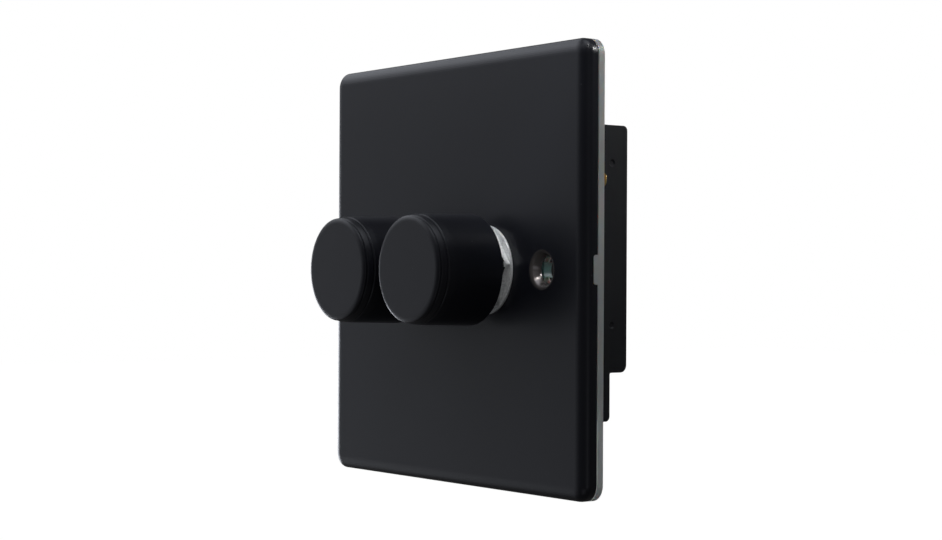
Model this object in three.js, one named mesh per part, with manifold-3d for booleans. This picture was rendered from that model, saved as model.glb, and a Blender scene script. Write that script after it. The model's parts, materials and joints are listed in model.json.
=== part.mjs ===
// Two-gang rotary dimmer on a square wall plate.
// Millimetres. X is to the right as seen from the room, Y points into the wall, Z is up.
// The origin is the centre of the plate, on the wall's surface.
// Each knob turns to dim and is pushed to switch. The two dimmer modules are alike.
import * as THREE from "three";
import { mergeVertices } from "three/addons/utils/BufferGeometryUtils.js";
import Module from "manifold-3d";

const wasm = await Module();
wasm.setup();

// Wall plate: a pressed sheet with an elliptical bend all round.
const PLATE_SIDE = 86;
const PLATE_FACE_Y = -4.5;
const SHEET = 1;
const BEND_ACROSS = 2.8;
const BEND_DEEP = 1.8;
const PLATE_CORNER = 3.2;
const FIXING_X = 30.15;
const FIXING_HOLE_R = 2.5;
const COUNTERSINK_R = 3.78;
const COUNTERSINK_DEEP = 1.5;
const NOTCH_HALF_TALL = 2.8;
const NOTCH_FRONT_Y = -2.5;

// Gasket between the plate's rim and the wall.
const GASKET_FRONT_Y = -1.35;
const GASKET_GAP = 0.1;
const GASKET_WALL = 1.3;
const BOSS_R = 4.4;
const BOSS_BORE_R = 2.6;
const BOSS_HALF_TALL = 1.45;
const FRAME_HOLE_R = 3.6;
const WEB = 0.3;

// Modules and the controls on their axes.
const MODULE_X = 12.6;
const MODULE_HALF_WIDE = 12.3;
const MODULE_TOP_Z = 28.8;
const MODULE_STEP_Z = -20.2;
const MODULE_BOTTOM_Z = -29.8;
const MODULE_BACK_Y = 21.2;
const LIP_BACK_Y = 16.9;
const HOUSING_FRONT_Y = -1.5;
const HOUSING_WALL = 1.3;

const KNOB_FRONT_Y = PLATE_FACE_Y - 18.8;
const KNOB_BACK_Y = PLATE_FACE_Y - 4;
const KNOB_BACK_R = 10.9;
// The knob's rounded front edge and two tapered bands, as [radius, distance behind the front].
const KNOB_BANDS = [
  [[9.1, 0], [10, 0.15], [10.3, 0.55]],
  [[10.2, 0.65], [10.32, 0.8], [10.6, 2.05]],
  [[10.46, 2.2], [10.56, 2.35], [10.7, 3.9]],
];
const KNOB_RECESS_R = 9.4;
const KNOB_RECESS_Y = -12;

const BUSH_R = 4.9;
const BUSH_TIP_Y = -8.2;
const WASHER_R = 8.8;
const WASHER_THICK = 0.55;
const NUT_ACROSS_FLATS = 15;
const NUT_FRONT_Y = PLATE_FACE_Y - 1.8;

const SPINDLE_R = 3;
const SPINDLE_FLAT_Z = 1.5;
const SPINDLE_TAIL_R = 1.5;
const RUNNING_GAP = 0.15;

const BOARD_FRONT_Y = 6.4;
const BOARD_BACK_Y = 8;

const WIRE_WIDE = 4.8;
const WIRE_DEEP = 5;
const TERMINAL_PITCH = 7.2;
const TERMINAL_Z = -24.7;
const WIRE_Y = 6.1;
const SCREWS = [
  { where: "upper", x: -8.6, z: 25 },
  { where: "lower", x: 8.55, z: -14 },
];
const SCREW_BOSS_R = 2.6;

const STUD_X = 36.5;
const STUD_Z = 17;
const STUD_R = 1.75;
const STUD_END_Y = 4.9;
const STUD_NUT_Y = 0.4;
const STUD_NUT_THICK = 2;

const GAP = 0.1; // between pieces that rest on each other
const ROUND = 24; // sides of a turned piece
const SMALL_ROUND = 12; // sides of a small screw or hole

function finish(color, roughness, metalness) {
  return new THREE.MeshStandardMaterial({ color, roughness, metalness });
}

const MATT_BLACK = finish(0x1d1e21, 0.55, 0.1);
const KNOB_BLACK = finish(0x17181b, 0.45, 0.1);
const CLEAR_PLASTIC = finish(0xa9adab, 0.35, 0);
const HOUSING_BLACK = finish(0x121315, 0.5, 0);
const BRIGHT_STEEL = finish(0xc3c7c6, 0.3, 1);
const ALUMINIUM = finish(0xaeb2b5, 0.4, 1);
const BRASS = finish(0xb8924a, 0.35, 1);
const COPPER = finish(0xb0643a, 0.4, 1);
const SPRING_STEEL = finish(0x8d9296, 0.3, 1);
const BOARD_GREEN = finish(0x2c5a3c, 0.55, 0);
const PHENOLIC_BROWN = finish(0x6a4a2d, 0.6, 0);
const SWITCH_GREY = finish(0x55585c, 0.5, 0);
const FERRITE = finish(0x2b2b2e, 0.7, 0);
const CAPACITOR_BLUE = finish(0x2b5fa3, 0.45, 0);
const EPOXY_BLACK = finish(0x161618, 0.55, 0);
const WHITE_NYLON = finish(0xd8d6cf, 0.5, 0);

// ---- solids ------------------------------------------------------------------------------

// A closed geometry as a solid that can be joined and cut.
function solidOf(geometry) {
  const bare = geometry.clone();
  bare.deleteAttribute("normal");
  bare.deleteAttribute("uv");
  const merged = mergeVertices(bare, 1e-4);
  return new wasm.Manifold(
    new wasm.Mesh({
      numProp: 3,
      vertProperties: merged.attributes.position.array,
      triVerts: new Uint32Array(merged.index.array),
    }),
  );
}

function geometryOf(solid) {
  const mesh = solid.getMesh();
  const geometry = new THREE.BufferGeometry();
  geometry.setAttribute("position", new THREE.BufferAttribute(mesh.vertProperties, 3));
  geometry.setIndex(new THREE.BufferAttribute(mesh.triVerts, 1));
  geometry.computeVertexNormals();
  return geometry;
}

function join(...geometries) {
  const solids = geometries.map(solidOf);
  return geometryOf(solids.reduce((whole, next) => whole.add(next)));
}

function cut(body, ...tools) {
  const solids = tools.map(solidOf);
  return geometryOf(solids.reduce((whole, tool) => whole.subtract(tool), solidOf(body)));
}

function common(one, other) {
  return geometryOf(solidOf(one).intersect(solidOf(other)));
}

function block(x0, x1, y0, y1, z0, z1) {
  const box = new THREE.BoxGeometry(x1 - x0, y1 - y0, z1 - z0);
  return box.translate((x0 + x1) / 2, (y0 + y1) / 2, (z0 + z1) / 2);
}

// A solid turned about an axis along Y through (x, z). The profile is [radius, y] pairs with the
// material on its left: from the front of the axis, outwards, back along +Y and in to the axis,
// or a ring that closes on itself.
function turned(profile, x = 0, z = 0, sides = ROUND) {
  const points = profile.map(([r, y]) => new THREE.Vector2(r, y));
  return new THREE.LatheGeometry(points, sides).translate(x, 0, z);
}

function rod(radius, y0, y1, x = 0, z = 0, sides = ROUND) {
  return turned([[0, y0], [radius, y0], [radius, y1], [0, y1]], x, z, sides);
}

function ring(outer, inner, y0, y1, x = 0, z = 0, sides = ROUND) {
  const profile = [[inner, y0], [outer, y0], [outer, y1], [inner, y1], [inner, y0]];
  return turned(profile, x, z, sides);
}

// A rectangle in the plate's plane, with round corners.
function roundedRectangle(x0, x1, z0, z1, radius) {
  const shape = new THREE.Shape();
  shape.absarc(x1 - radius, z1 - radius, radius, 0, Math.PI / 2);
  shape.absarc(x0 + radius, z1 - radius, radius, Math.PI / 2, Math.PI);
  shape.absarc(x0 + radius, z0 + radius, radius, Math.PI, Math.PI * 1.5);
  shape.absarc(x1 - radius, z0 + radius, radius, Math.PI * 1.5, Math.PI * 2);
  return shape;
}

// A shape drawn in X and Z, made solid from y0 to y1.
function slab(shape, y0, y1, curveSegments = 3) {
  const options = { depth: y1 - y0, bevelEnabled: false, curveSegments };
  return new THREE.ExtrudeGeometry(shape, options).rotateX(Math.PI / 2).translate(0, y1, 0);
}

// A shape drawn in Y and Z, made solid from x0 to x1.
function rail(shape, x0, x1, curveSegments = 3) {
  const options = { depth: x1 - x0, bevelEnabled: false, curveSegments };
  const drawn = new THREE.ExtrudeGeometry(shape, options);
  return drawn.rotateX(Math.PI / 2).rotateZ(Math.PI / 2).translate(x0, 0, 0);
}

// A closed outline through [y, z] corners, each with its own radius.
function outline(corners) {
  const shape = new THREE.Shape();
  corners.forEach(([y, z, radius], i) => {
    const here = new THREE.Vector2(y, z);
    const towards = ([otherY, otherZ]) => {
      const other = new THREE.Vector2(otherY, otherZ);
      return other.sub(here).setLength(radius).add(here);
    };
    const enter = towards(corners.at(i - 1));
    const leave = towards(corners[(i + 1) % corners.length]);
    if (i === 0) shape.moveTo(enter.x, enter.y);
    else shape.lineTo(enter.x, enter.y);
    shape.quadraticCurveTo(y, z, leave.x, leave.y);
  });
  shape.closePath();
  return shape;
}

function piece(name, material, geometry) {
  const mesh = new THREE.Mesh(geometry, material);
  mesh.name = name;
  return mesh;
}

// ---- wall plate --------------------------------------------------------------------------

// The inside or outside of the pressing: flat in front, with an elliptical bend into the rim.
function pressing(halfSide, corner, faceY, across, deep, backY) {
  const flat = halfSide - across;
  const shape = roundedRectangle(-flat, flat, -flat, flat, corner - across);
  const bent = new THREE.ExtrudeGeometry(shape, {
    depth: backY - faceY - deep,
    bevelThickness: deep,
    bevelSize: across,
    bevelSegments: 4,
    curveSegments: 4,
  });
  bent.rotateX(Math.PI / 2).translate(0, backY, 0);
  return common(bent, block(-halfSide, halfSide, faceY, backY, -halfSide, halfSide));
}

// The sheet round a fixing hole is dished inwards to seat a countersunk screw.
function fixingDish(x) {
  const innerY = PLATE_FACE_Y + SHEET;
  const rootY = innerY - SHEET / 2;
  const endY = PLATE_FACE_Y + COUNTERSINK_DEEP + 0.4;
  return turned([[0, rootY], [5, rootY], [5, innerY], [3.5, endY], [0, endY]], x, 0, 20);
}

function fixingHole(x) {
  const seatY = PLATE_FACE_Y + COUNTERSINK_DEEP;
  const slope = (COUNTERSINK_R - FIXING_HOLE_R) / COUNTERSINK_DEEP;
  const frontY = PLATE_FACE_Y - 1;
  const frontR = COUNTERSINK_R + slope;
  const profile = [[0, frontY], [frontR, frontY], [FIXING_HOLE_R, seatY], [FIXING_HOLE_R, 0], [0, 0]];
  return turned(profile, x, 0, 20);
}

function facePlate() {
  const half = PLATE_SIDE / 2;
  const backY = GASKET_FRONT_Y - GAP / 2;
  const outside = pressing(half, PLATE_CORNER, PLATE_FACE_Y, BEND_ACROSS, BEND_DEEP, backY);
  const inside = pressing(
    half - SHEET, PLATE_CORNER - SHEET, PLATE_FACE_Y + SHEET,
    BEND_ACROSS - SHEET, BEND_DEEP - SHEET, 1,
  );
  const shell = cut(outside, inside);
  const dished = join(shell, fixingDish(-FIXING_X), fixingDish(FIXING_X));
  const bushHoles = [-1, 1].map((side) => rod(BUSH_R + 0.3, -6, 0, side * MODULE_X));
  const notches = [-1, 1].map((side) => {
    const inner = side * (half - SHEET - 0.6);
    const outer = side * (half + 1);
    const xs = [inner, outer].sort((a, b) => a - b);
    return block(...xs, NOTCH_FRONT_Y, 1, -NOTCH_HALF_TALL, NOTCH_HALF_TALL);
  });
  return cut(dished, fixingHole(-FIXING_X), fixingHole(FIXING_X), ...bushHoles, ...notches);
}

// A clear frame under the rim, a low wall inside the rim, and a tab in each of its notches.
// Slots thin the frame to a web above and below the bosses, so that each boss can give a little.
function gasket() {
  const half = PLATE_SIDE / 2;
  const frame = slab(roundedRectangle(-half, half, -half, half, PLATE_CORNER), GASKET_FRONT_Y, 0);
  const wallOut = half - SHEET - 0.3;
  const wallIn = wallOut - GASKET_WALL;
  const wallFrontY = NOTCH_FRONT_Y - 0.3;
  const outer = roundedRectangle(-wallOut, wallOut, -wallOut, wallOut, PLATE_CORNER - SHEET);
  const inner = roundedRectangle(-wallIn, wallIn, -wallIn, wallIn, PLATE_CORNER - SHEET - GASKET_WALL);
  const wall = cut(slab(outer, wallFrontY, GASKET_FRONT_Y + 0.2), slab(inner, wallFrontY - 1, 0.5));
  const tabTall = NOTCH_HALF_TALL - GASKET_GAP;
  const tabFrontY = NOTCH_FRONT_Y + GASKET_GAP;
  const tabs = [-1, 1].map((side) => {
    const xs = [side * (wallOut - 0.5), side * half].sort((a, b) => a - b);
    return block(...xs, tabFrontY, GASKET_FRONT_Y + 0.2, -tabTall, tabTall);
  });
  const bosses = [-FIXING_X, FIXING_X].map((x) => common(
    ring(BOSS_R, BOSS_BORE_R, -1.95, -0.1, x, 0, 16),
    block(x - BOSS_R, x + BOSS_R, -3, 0, -BOSS_HALF_TALL, BOSS_HALF_TALL),
  ));
  const windowSide = MODULE_X + MODULE_HALF_WIDE + 0.8;
  const window = slab(
    roundedRectangle(-windowSide, windowSide, MODULE_BOTTOM_Z - 0.8, MODULE_TOP_Z + 0.8, 1.5), -3, 1,
  );
  const screwHoles = [-FIXING_X, FIXING_X].map((x) => rod(FRAME_HOLE_R, -3, 1, x, 0, 16));
  const slots = [-1, 1].flatMap((side) => [-1, 1].map((way) => {
    const xs = [side * (windowSide - 1), side * (FIXING_X - 1)].sort((a, b) => a - b);
    const zs = [way * BOSS_HALF_TALL, way * FRAME_HOLE_R].sort((a, b) => a - b);
    return block(...xs, -3, -WEB, ...zs);
  }));
  const studHole = rod(FRAME_HOLE_R, -3, 1, STUD_X, STUD_Z, 16);
  const body = cut(join(frame, wall, ...tabs), window, ...screwHoles, ...slots, studHole);
  return join(body, ...bosses);
}

function earthStud() {
  const rootY = PLATE_FACE_Y + SHEET + GAP;
  const flangeY = rootY + 0.9;
  const profile = [
    [0, rootY], [3.2, rootY], [3.2, flangeY], [STUD_R, flangeY],
    [STUD_R, STUD_END_Y - 0.4], [STUD_R - 0.4, STUD_END_Y], [0, STUD_END_Y],
  ];
  return turned(profile, STUD_X, STUD_Z, SMALL_ROUND);
}

function hexagonNut(acrossFlats, boreR, y0, y1, x, z, firstCornerDeg, sides = ROUND) {
  const cornerR = acrossFlats / Math.sqrt(3);
  const prism = new THREE.CylinderGeometry(cornerR, cornerR, y1 - y0, 6);
  prism.rotateY(THREE.MathUtils.degToRad(30 - firstCornerDeg)).translate(0, (y0 + y1) / 2, 0);
  const chamferR = acrossFlats / 2 - 0.2;
  const chamfer = (cornerR - chamferR) * 0.5;
  const turnedR = cornerR + 0.05;
  const blank = turned(
    [[0, y0], [chamferR, y0], [turnedR, y0 + chamfer], [turnedR, y1], [0, y1]], 0, 0, sides,
  );
  const nut = cut(common(prism, blank), rod(boreR, y0 - 1, y1 + 1, 0, 0, sides));
  return nut.translate(x, 0, z);
}

function plateGroup() {
  const group = new THREE.Group();
  group.add(piece("face_plate", MATT_BLACK, facePlate()));
  group.add(piece("gasket", CLEAR_PLASTIC, gasket()));
  group.add(piece("earth_stud", BRASS, earthStud()));
  const nutBackY = STUD_NUT_Y + STUD_NUT_THICK;
  const nut = hexagonNut(6, STUD_R + 0.15, STUD_NUT_Y, nutBackY, STUD_X, STUD_Z, 12, SMALL_ROUND);
  group.add(piece("earth_nut", BRASS, nut));
  return group;
}

// ---- one dimmer module, drawn about its own spindle axis ---------------------------------

function heatsinkPlate() {
  const half = MODULE_HALF_WIDE - 0.2;
  const shape = roundedRectangle(-half, half, MODULE_STEP_Z + 0.2, MODULE_TOP_Z - 0.2, 1);
  const y0 = PLATE_FACE_Y + SHEET + GAP;
  const blank = slab(shape, y0, HOUSING_FRONT_Y - GAP, 2);
  const screwHoles = SCREWS.map(({ x, z }) => rod(1.5, -5, 0, x, z, SMALL_ROUND));
  return cut(blank, rod(BUSH_R + 0.2, -5, 0), ...screwHoles);
}

// The three terminals' places across the module.
const TERMINALS = ["a", "b", "c"].map((letter, i) => ({ letter, x: (i - 1) * TERMINAL_PITCH }));

function moduleHousing() {
  const side = MODULE_HALF_WIDE;
  const corners = [
    [HOUSING_FRONT_Y, MODULE_BOTTOM_Z, 0.3],
    [LIP_BACK_Y, MODULE_BOTTOM_Z, 1],
    [LIP_BACK_Y, MODULE_STEP_Z, 0.3],
    [MODULE_BACK_Y, MODULE_STEP_Z, 1.5],
    [MODULE_BACK_Y, MODULE_TOP_Z, 1],
    [HOUSING_FRONT_Y, MODULE_TOP_Z, 0.3],
  ];
  const body = rail(outline(corners), -side, side);
  const innerSide = side - HOUSING_WALL;
  const innerBackY = MODULE_BACK_Y - HOUSING_WALL;
  const lipInnerBackY = LIP_BACK_Y - HOUSING_WALL;
  const innerBottomZ = MODULE_BOTTOM_Z + HOUSING_WALL;
  const room = block(
    -innerSide, innerSide, HOUSING_FRONT_Y - 1, innerBackY,
    MODULE_STEP_Z + HOUSING_WALL, MODULE_TOP_Z - HOUSING_WALL,
  );
  const lipRoom = block(-innerSide, innerSide, 0, lipInnerBackY, innerBottomZ, -17);
  const shell = cut(body, room, lipRoom);
  const ribs = [-0.5, 0.5].map((place) => {
    const x = place * TERMINAL_PITCH;
    return block(x - 0.3, x + 0.3, -0.5, lipInnerBackY + 0.5, innerBottomZ - 0.5, -21);
  });
  const screwBosses = SCREWS.map(({ x, z }) =>
    rod(SCREW_BOSS_R, HOUSING_FRONT_Y, innerBackY + 0.5, x, z, SMALL_ROUND));
  const screwBores = SCREWS.map(({ x, z }) => turned([
    [0, HOUSING_FRONT_Y - 1], [1.45, HOUSING_FRONT_Y - 1], [1.45, 19.9],
    [2.4, 19.9], [2.4, MODULE_BACK_Y + 1], [0, MODULE_BACK_Y + 1],
  ], x, z, SMALL_ROUND));
  const wireEntries = TERMINALS.map(({ x }) => block(
    x - WIRE_WIDE / 2 - 0.05, x + WIRE_WIDE / 2 + 0.05,
    WIRE_Y - WIRE_DEEP / 2 - 0.05, WIRE_Y + WIRE_DEEP / 2 + 0.05,
    MODULE_BOTTOM_Z - 1, innerBottomZ + 0.3,
  ));
  const driverHoles = TERMINALS.map(({ x }) =>
    rod(2.4, lipInnerBackY - 0.3, LIP_BACK_Y + 1, x, TERMINAL_Z, SMALL_ROUND));
  const dimples = [-1, 1].flatMap((way) => [21.3, -10.8].map((z) => {
    const dimple = turned([[0, -0.2], [1, -0.2], [0.5, 0.3], [0, 0.3]], 0, 0, SMALL_ROUND);
    return dimple.rotateZ(way * Math.PI / 2).translate(way * side, 17.3, z);
  }));
  return cut(
    join(shell, ...ribs, ...screwBosses),
    ...screwBores, ...wireEntries, ...driverHoles, ...dimples,
  );
}

function circuitBoard() {
  const half = MODULE_HALF_WIDE - HOUSING_WALL - 0.4;
  const board = block(-half, half, BOARD_FRONT_Y, BOARD_BACK_Y, -18.4, 27);
  const notches = SCREWS.map(({ x, z }) => rod(SCREW_BOSS_R + 0.8, 5, 9, x, z, SMALL_ROUND));
  return cut(board, rod(2.6, 5, 9), ...notches);
}

function bush() {
  const profile = [
    [SPINDLE_R + RUNNING_GAP, BUSH_TIP_Y], [BUSH_R - 0.4, BUSH_TIP_Y], [BUSH_R, BUSH_TIP_Y + 0.4],
    [BUSH_R, HOUSING_FRONT_Y], [7, HOUSING_FRONT_Y], [7, -0.6],
    [SPINDLE_R + RUNNING_GAP, -0.6], [SPINDLE_R + RUNNING_GAP, BUSH_TIP_Y],
  ];
  return turned(profile);
}

// The can of the rotary control, open at the back, where the track disc closes it.
function controlCan() {
  const profile = [
    [3.5, -0.5], [8.2, -0.5], [8.2, 5.8], [7.7, 5.8], [7.7, 0.1], [3.5, 0.1], [3.5, -0.5],
  ];
  return turned(profile);
}

function wiperRotor() {
  const disc = turned([
    [0, 0.6], [6.9, 0.6], [6.9, 1.8], [4.6, 1.8], [4.6, 2.9], [0, 2.9],
  ]);
  const finger = block(-1, 1, 1.5, 4.6, -6.3, -4.8);
  return cut(join(disc, finger), keyedBore(RUNNING_GAP, 0, 4));
}

// A bore for the spindle with the spindle's flat, wider than it all round by the gap.
function keyedBore(gap, y0, y1) {
  const flatZ = SPINDLE_FLAT_Z + gap;
  return cut(rod(SPINDLE_R + gap, y0, y1), block(-5, 5, y0 - 1, y1 + 1, flatZ, 5));
}

function spindle() {
  const frontY = KNOB_FRONT_Y + 1.8;
  const shank = turned([
    [0, frontY], [SPINDLE_R - 0.4, frontY], [SPINDLE_R, frontY + 0.4], [SPINDLE_R, 3.2],
    [SPINDLE_TAIL_R, 3.2], [SPINDLE_TAIL_R, 5.95], [0, 5.95],
  ]);
  const knobFlat = block(-4, 4, frontY - 1, -9.6, SPINDLE_FLAT_Z, 4);
  const rotorFlat = block(-4, 4, -1.4, 4, SPINDLE_FLAT_Z, 4);
  return cut(shank, knobFlat, rotorFlat);
}

// A turned knob: stepped bands at the front edge, and a body that widens a little.
function knob() {
  const bands = KNOB_BANDS.flat().map(([radius, behind]) => [radius, KNOB_FRONT_Y + behind]);
  const body = turned([
    [0, KNOB_FRONT_Y], ...bands,
    [KNOB_BACK_R, KNOB_BACK_Y - 0.3],
    [KNOB_BACK_R - 0.3, KNOB_BACK_Y], [KNOB_RECESS_R, KNOB_BACK_Y],
    [KNOB_RECESS_R, KNOB_RECESS_Y], [0, KNOB_RECESS_Y],
  ], 0, 0, 36);
  const boreR = SPINDLE_R + RUNNING_GAP;
  const socket = cut(
    rod(boreR, KNOB_FRONT_Y + 1.5, KNOB_RECESS_Y + 1),
    block(-5, 5, KNOB_FRONT_Y, 0, SPINDLE_FLAT_Z + 0.8, 5),
  );
  return cut(body, socket);
}

// A leaf between the spindle's flat and the knob, with a lip over the mouth of the bore.
function gripSpring() {
  const z0 = SPINDLE_FLAT_Z + 0.2;
  const leaf = block(-1.4, 1.4, -20, KNOB_RECESS_Y + 0.5, z0, z0 + 0.4);
  const lip = block(-1.4, 1.4, KNOB_RECESS_Y + 0.1, KNOB_RECESS_Y + 0.5, z0, z0 + 2);
  return join(leaf, lip);
}

function switchBody() {
  const body = block(-5.5, 5.5, BOARD_BACK_Y + 0.2, 18.2, -5.5, 5.5);
  return cut(body, block(-4.6, 4.6, BOARD_BACK_Y - 1, 16.9, -4.6, 4.6));
}

function switchPlunger() {
  return turned([
    [0, 6.05], [1.8, 6.05], [1.8, 9.2], [4.1, 9.2], [4.1, 10.8], [1.1, 10.8],
    [1.1, 14.4], [0, 14.4],
  ], 0, 0, SMALL_ROUND);
}

function contactBridge() {
  const strip = block(-4, 4, 10.9, 11.3, -1.6, 1.6);
  const buttons = [-3.2, 3.2].map((x) => rod(0.7, 11.2, 11.8, x, 0, 12));
  return cut(join(strip, ...buttons), rod(1.3, 10, 12, 0, 0, SMALL_ROUND));
}

class Helix extends THREE.Curve {
  constructor(radius, turns, y0, y1) {
    super();
    Object.assign(this, { radius, turns, y0, y1 });
  }

  getPoint(t) {
    const angle = t * this.turns * Math.PI * 2;
    const y = THREE.MathUtils.lerp(this.y0, this.y1, t);
    return new THREE.Vector3(this.radius * Math.cos(angle), y, this.radius * Math.sin(angle));
  }
}

function returnSpring() {
  const turns = 4;
  const section = new THREE.Shape();
  section.absarc(0, 0, 0.26, 0, Math.PI * 2);
  const options = {
    steps: turns * 10, curveSegments: 3, bevelEnabled: false,
    extrudePath: new Helix(2.1, turns, 11.8, 16.4),
  };
  return new THREE.ExtrudeGeometry(section, options);
}

// The switching transistor, flat on the heatsink, with its leads bent back to the board.
function powerTransistor() {
  const tab = block(-5, 5, -1.4, -0.1, 12, 26.2);
  const resin = block(-5, 5, -0.3, 3, 12, 20.6);
  const leads = [-2.5, 0, 2.5].map((x) => join(
    block(x - 0.4, x + 0.4, 1, 1.6, 9.4, 12.5),
    block(x - 0.4, x + 0.4, 1, BOARD_FRONT_Y - 0.2, 8.9, 9.5),
  ));
  return cut(join(tab, resin, ...leads), rod(1.8, -2, 0.5, 0, 23.5, SMALL_ROUND));
}

const CHOKE = { x: -4.6, z: 17.5 };

function chokeCore() {
  const y0 = BOARD_BACK_Y + 0.3;
  const y1 = 19;
  return turned([
    [0, y0], [5.2, y0], [5.2, y0 + 1.2], [2.6, y0 + 1.2],
    [2.6, y1 - 1.2], [5.2, y1 - 1.2], [5.2, y1], [0, y1],
  ], CHOKE.x, CHOKE.z, 20);
}

function chokeWinding() {
  return ring(4.9, 2.9, BOARD_BACK_Y + 1.7, 17.6, CHOKE.x, CHOKE.z, 20);
}

// A brass box that the wire enters from below, with a tail up to the board.
function terminalClamp(x) {
  const y0 = WIRE_Y - WIRE_DEEP / 2 - 0.9;
  const body = block(x - 2.95, x + 2.95, y0, 11.4, TERMINAL_Z - 3.2, TERMINAL_Z + 3.2);
  const tail = block(x - 1, x + 1, BOARD_BACK_Y + 0.3, BOARD_BACK_Y + 1.1, -22, -17.1);
  const wireHole = block(
    x - WIRE_WIDE / 2, x + WIRE_WIDE / 2,
    WIRE_Y - WIRE_DEEP / 2, WIRE_Y + WIRE_DEEP / 2, TERMINAL_Z - 4, TERMINAL_Z + 2.4,
  );
  const screwHole = rod(1.65, WIRE_Y, 13, x, TERMINAL_Z, SMALL_ROUND);
  return cut(join(body, tail), wireHole, screwHole);
}

function clampScrew(x) {
  const body = turned([
    [0, 8.9], [1.5, 8.9], [1.5, 11.9], [2.1, 11.9], [2.1, 13.8], [0, 13.8],
  ], x, TERMINAL_Z, SMALL_ROUND);
  return cut(body, block(x - 3, x + 3, 13, 15, TERMINAL_Z - 0.3, TERMINAL_Z + 0.3));
}

function housingScrew({ x, z }) {
  const headY = 20;
  const body = turned([
    [0, -3.1], [1.2, -3.1], [1.2, headY], [2.15, headY],
    [2.15, headY + 0.6], [1.5, headY + 1], [0, headY + 1],
  ], x, z, SMALL_ROUND);
  const endY = headY + 2;
  return cut(
    body,
    block(x - 1.1, x + 1.1, headY + 0.3, endY, z - 0.25, z + 0.25),
    block(x - 0.25, x + 0.25, headY + 0.3, endY, z - 1.1, z + 1.1),
  );
}

// What turns with the knob.
function dialGroup(side) {
  const group = new THREE.Group();
  group.add(piece(`${side}_knob`, KNOB_BLACK, knob()));
  group.add(piece(`${side}_knob_grip_spring`, SPRING_STEEL, gripSpring()));
  group.add(piece(`${side}_spindle`, ALUMINIUM, spindle()));
  return group;
}

// The push switch behind the board, worked by the end of the spindle.
function switchGroup(side) {
  const group = new THREE.Group();
  group.add(piece(`${side}_switch_body`, SWITCH_GREY, switchBody()));
  group.add(piece(`${side}_switch_plunger`, WHITE_NYLON, switchPlunger()));
  group.add(piece(`${side}_contact_bridge`, COPPER, contactBridge()));
  group.add(piece(`${side}_return_spring`, SPRING_STEEL, returnSpring()));
  return group;
}

function controlGroup(side, nutCornerDeg) {
  const group = new THREE.Group();
  group.add(piece(`${side}_bush`, BRIGHT_STEEL, bush()));
  group.add(piece(`${side}_control_can`, BRIGHT_STEEL, controlCan()));
  group.add(piece(`${side}_wiper_rotor`, WHITE_NYLON, wiperRotor()));
  group.add(piece(`${side}_track_disc`, PHENOLIC_BROWN, ring(7.4, 2.1, 4.9, 5.8)));
  const washerY = PLATE_FACE_Y - WASHER_THICK;
  const washer = ring(WASHER_R, BUSH_R + 0.2, washerY, PLATE_FACE_Y - GAP / 2);
  group.add(piece(`${side}_washer`, BRIGHT_STEEL, washer));
  const nut = hexagonNut(
    NUT_ACROSS_FLATS, BUSH_R + 0.2, NUT_FRONT_Y, washerY - GAP / 2, 0, 0, nutCornerDeg,
  );
  group.add(piece(`${side}_hex_nut`, BRIGHT_STEEL, nut));
  return group;
}

function electronicsGroup(side) {
  const group = new THREE.Group();
  group.add(piece(`${side}_circuit_board`, BOARD_GREEN, circuitBoard()));
  group.add(piece(`${side}_power_transistor`, EPOXY_BLACK, powerTransistor()));
  group.add(piece(`${side}_choke_core`, FERRITE, chokeCore()));
  group.add(piece(`${side}_choke_winding`, COPPER, chokeWinding()));
  const capacitor = block(3, 9.4, BOARD_BACK_Y + 0.3, 17.4, 8.5, 22.5);
  group.add(piece(`${side}_film_capacitor`, CAPACITOR_BLUE, capacitor));
  TERMINALS.forEach(({ letter, x }) => {
    group.add(piece(`${side}_terminal_clamp_${letter}`, BRASS, terminalClamp(x)));
    group.add(piece(`${side}_clamp_screw_${letter}`, BRIGHT_STEEL, clampScrew(x)));
  });
  return group;
}

function moduleGroup(side, x, nutCornerDeg) {
  const group = new THREE.Group();
  group.add(piece(`${side}_heatsink_plate`, ALUMINIUM, heatsinkPlate()));
  group.add(piece(`${side}_module_housing`, HOUSING_BLACK, moduleHousing()));
  SCREWS.forEach((screw) => {
    group.add(piece(`${side}_housing_screw_${screw.where}`, BRIGHT_STEEL, housingScrew(screw)));
  });
  group.add(controlGroup(side, nutCornerDeg), dialGroup(side));
  group.add(switchGroup(side), electronicsGroup(side));
  group.position.x = x;
  return group;
}

const dimmer = new THREE.Group();
dimmer.add(plateGroup());
dimmer.add(moduleGroup("left", -MODULE_X, 22));
dimmer.add(moduleGroup("right", MODULE_X, 7));

export default dimmer;
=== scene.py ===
import json
import math

import bmesh
import bpy
from mathutils import Matrix, Vector


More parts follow.
